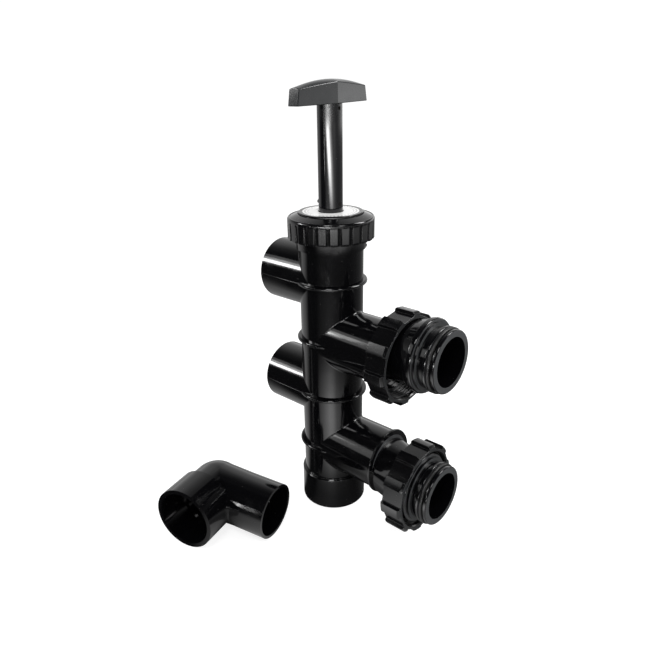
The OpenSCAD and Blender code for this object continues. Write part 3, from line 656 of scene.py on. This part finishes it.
# widest and highest over the shaft: the ridge is arched, the shoulders run almost straight
# down to the ends, and the ends lean in toward the top. All of it stays a hair inside its solid
grip_z, grip_h, grip_half = 0.4428, 0.0218, 0.0495
middle_half_w, end_half_w = 0.01075, 0.00625
ridge_drop, end_lean = 0.0062, 0.0038
shoulder_h, shoulder_drop = 0.0193, 0.0049
inside = 0.999
rock = math.radians(1.0)
stations, columns = 32, 20
points, faces = [], []
for i in range(stations + 1):
    along = 2 * i / stations - 1
    out = abs(along)
    half_w = (middle_half_w + (end_half_w - middle_half_w) * out) * inside
    ridge = grip_h - ridge_drop * out ** 2
    shoulder = shoulder_h - shoulder_drop * out ** 1.1
    outline = [(-half_w, 0), (half_w, 0)]
    for j in range(columns + 1):
        across = 1 - 2 * j / columns
        outline.append((half_w * across, shoulder + (ridge - shoulder) * (1 - across ** 2)))
    for x, z in outline:
        y = along * (grip_half - end_lean * z / grip_h) * inside
        points.append((x, y * math.cos(rock) - z * math.sin(rock),
            grip_z + z * math.cos(rock) + y * math.sin(rock)))
row = columns + 3
for i in range(stations):
    for j in range(row):
        a, b = i * row + j, i * row + (j + 1) % row
        faces.append((a, b, b + row, a + row))
faces.append(tuple(range(row - 1, -1, -1)))
faces.append(tuple(range(stations * row, (stations + 1) * row)))
spigot_r, spigot_foot, sides = 0.00965, 0.4208, 48
base = len(points)
for z in (spigot_foot, grip_z + 0.001):
    for k in range(sides):
        angle = math.tau * k / sides
        points.append((spigot_r * math.cos(angle), spigot_r * math.sin(angle), z))
low, high = base, base + sides
for k in range(sides):
    after = (k + 1) % sides
    faces.append((low + k, low + after, high + after, high + k))
faces.append(tuple(high - 1 - k for k in range(sides)))
faces.append(tuple(high + k for k in range(sides)))
handle_grip = new_piece("handle_grip", points, faces, grip, "plunger")
round_edges(handle_grip, width=0.0015, segments=4, sharp=7, limit=24)
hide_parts("handle")


# ---- Pins ----
# One spring pin goes through the tube and the handle's spigot and holds the handle, and the
# lock pin goes through the tube just above the cap. Both are blackened.

def fixings_metal(name, hex_light, hex_dark, rough_low, rough_high, grain_scale):
    # drawn or turned metal: its tone, gloss and height differ a little from grain to grain
    material = bpy.data.materials.new(name)
    material.use_nodes = True
    tree = material.node_tree
    skin = tree.nodes["Principled BSDF"]
    skin.inputs["Metallic"].default_value = 1.0
    place = add(tree, "ShaderNodeTexCoord").outputs["Object"]
    grain = add(tree, "ShaderNodeTexNoise", [(place, "Vector")], in_Scale=grain_scale,
        in_Detail=4)
    tone = add(tree, "ShaderNodeValToRGB", [(grain.outputs[0], 0)],
        stops=[(0.3, srgb(hex_dark)), (0.7, srgb(hex_light))])
    tree.links.new(tone.outputs[0], skin.inputs["Base Color"])
    rough = add(tree, "ShaderNodeMapRange", [(grain.outputs[0], 0)], in_1=0.3, in_2=0.7,
        in_3=rough_low, in_4=rough_high)
    tree.links.new(rough.outputs[0], skin.inputs["Roughness"])
    bump = add(tree, "ShaderNodeBump", [(grain.outputs[0], "Height")], in_Distance=0.00001)
    tree.links.new(bump.outputs[0], skin.inputs["Normal"])
    return material


# oxide-blackened spring steel, drawn: a brown-black sheen, grain 1 mm
black_steel = fixings_metal("spring_steel_black_oxide", "#2c2a29", "#191817", 0.35, 0.55, 1000)
put_on("handle_pin", black_steel)
put_on("lock_pin", black_steel)


# ---- Pistons, spacer and their fixings ----
# Inside, two pistons and the tube between them are turned from natural acetal. A stainless
# clip, washer and screw hold them on the shaft.

acetal = bpy.data.materials.new("natural_acetal_turned")
acetal.use_nodes = True
tree = acetal.node_tree
skin = tree.nodes["Principled BSDF"]
skin.inputs["IOR"].default_value = 1.48
place = add(tree, "ShaderNodeTexCoord").outputs["Object"]
# feed marks of the lathe along the axis, drawn 1.2 mm apart where real ones are finer
feed = add(tree, "ShaderNodeTexWave", [(place, "Vector")], wave_type="BANDS",
    bands_direction="Z", in_Scale=260, in_Distortion=0.4, in_Detail=1)
bump = add(tree, "ShaderNodeBump", [(feed.outputs[0], "Height")], in_Distance=0.000012)
tree.links.new(bump.outputs[0], skin.inputs["Normal"])
# milky clouds of about 17 mm
cloud = add(tree, "ShaderNodeTexNoise", [(place, "Vector")], in_Scale=60, in_Detail=4)
tone = add(tree, "ShaderNodeValToRGB", [(cloud.outputs[0], 0)],
    stops=[(0.3, srgb("#cfccc2")), (0.7, srgb("#dedbd2"))])
tree.links.new(tone.outputs[0], skin.inputs["Base Color"])
rough = add(tree, "ShaderNodeMapRange", [(cloud.outputs[0], 0)], in_3=0.32, in_4=0.48)
tree.links.new(rough.outputs[0], skin.inputs["Roughness"])
for name in ("upper_piston", "lower_piston", "piston_spacer"):
    put_on(name, acetal)

# turned stainless steel: bright, faintly streaked, grain 0.6 mm
stainless = fixings_metal("stainless_steel_turned", "#b9b8b5", "#9b9a97", 0.18, 0.34, 1600)
for name in ("retaining_clip", "end_washer", "end_screw"):
    put_on(name, stainless)
put_on("shaft_end_plug", moulded_abs)


# ---- Tailpieces ----
# Each tailpiece is an offset ABS adapter cemented into its branch, with a flange for the nut
# and a grooved plug end for the filter. A bead of cement shows round each branch's lip.

faced_abs = black_abs("black_abs_moulded_ends_faced", "#040405", gloss=0.09, haze=0.18,
    cut_face="#38393a")
lip_x = 0.0788
for level_name, pipe_z, lip_r, bead_w, seed in (
        ("upper", upper_branch_z, 0.0363, 0.0011, 27),
        ("lower", lower_branch_z, 0.0353, 0.0006, 15)):
    rounded(level_name + "_tailpiece", level_name + "_tailpiece_moulded", "housing",
        faced_abs, round_over=0.0005, segments=3, crease=24.0)
    cement_bead(level_name + "_lip_cement", (lip_x, 0, pipe_z), (1, 0, 0), lip_r, width=bead_w,
        height=0.0013, seed=seed, material=cement, body="housing")


# ---- Union nuts ----
# Coarse-threaded nuts with ten flats and ten raised grips, moulded in black ABS. They are
# loose on their tailpieces, behind the flange.

nut_abs = black_abs("black_abs_moulded_nut_ends_faced", "#050506", gloss=0.14, haze=0.25,
    cut_face="#242526")
for level_name in ("upper", "lower"):
    rounded(level_name + "_nut", level_name + "_union_nut", level_name + "_nut",
        nut_abs, round_over=0.0007, segments=3, crease=26.0)


# ---- Street elbow ----
# A loose 90-degree elbow, socket at one end and plain spigot at the other, moulded in black
# ABS. It lies on the paper beside the valve.

elbow = rounded("street_elbow", "street_elbow_moulded", "elbow", polished_abs,
    round_over=0.0008, segments=3)
# the neck tapers into the spigot instead of stepping down to it
bend = Vector((-0.0715, -0.1200, 0.0350))
spigot_way = Vector((0.9662022, 0.2498769, -0.0633624))
step_at, step_half, step_r, tapered_r = 0.0375, 0.0008, 0.0303, 0.03015
for vertex in elbow.data.vertices:
    off = vertex.co - bend
    reach = off.dot(spigot_way)
    from_axis = off - spigot_way * reach
    if abs(reach - step_at) < step_half and from_axis.length > step_r:
        vertex.co = bend + spigot_way * reach + from_axis * (tapered_r / from_axis.length)
